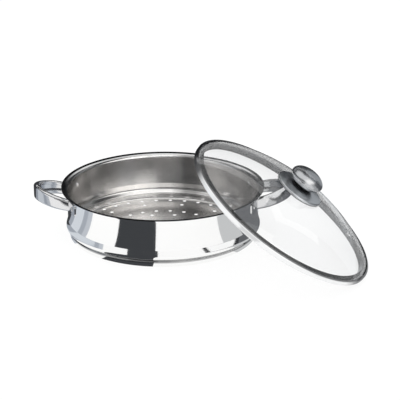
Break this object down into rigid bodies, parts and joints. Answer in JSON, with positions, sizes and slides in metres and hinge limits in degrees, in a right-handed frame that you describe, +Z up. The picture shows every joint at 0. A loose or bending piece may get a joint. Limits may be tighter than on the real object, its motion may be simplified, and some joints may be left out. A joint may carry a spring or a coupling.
{
  "type": "steamer pot",
  "caption": "Shallow round steel steamer pot with a perforated floor, two strap loop handles and a domed glass lid with a knob and steam vent, taken off and leaning on a handle.",
  "frame": {"origin": "centre of the pot's underside, on the floor that it stands on", "axes": "+Z up along the pot's axis, -X and +X through the middles of the left and right handles, +Y to the back; the lid leans at +X and -Y"},
  "size_m": [0.4076, 0.3691, 0.1441],
  "materials": {
    "pot_steel": "polished stainless steel outside, finely brushed inside",
    "handle_steel": "polished pressed stainless steel",
    "rivet_steel": "satin",
    "band_steel": "polished",
    "spun_steel": "spun satin, ring-brushed about the knob's axis",
    "knob_steel": "satin polished",
    "black_plastic": "matt moulded",
    "brass": "turned",
    "silicone": "translucent soft silicone",
    "glass": "clear tempered glass"
  },
  "bodies": {
    "pot": {"steamer_body": "pot_steel", "left_handle": "handle_steel", "right_handle": "handle_steel", "left_front_rivet": "rivet_steel", "left_rear_rivet": "rivet_steel", "right_front_rivet": "rivet_steel", "right_rear_rivet": "rivet_steel"},
    "lid": {"lid_glass": "glass", "lid_rim_band": "band_steel", "lid_rim_seal": "silicone", "vent_eyelet": "band_steel", "vent_collar": "band_steel", "knob_skirt": "spun_steel", "skirt_gasket": "silicone", "knob_cap": "knob_steel", "knob_core": "black_plastic", "knob_insert": "brass", "stem_gasket": "silicone", "inner_gasket": "silicone", "screw_washer": "band_steel", "lid_screw": "band_steel"}
  },
  "joints": [
    {"name": "lid_lift", "type": "slide", "parent": "pot", "child": "lid", "axis": [0, 0, 1], "range_m": [0, 0.25]}
  ]
}
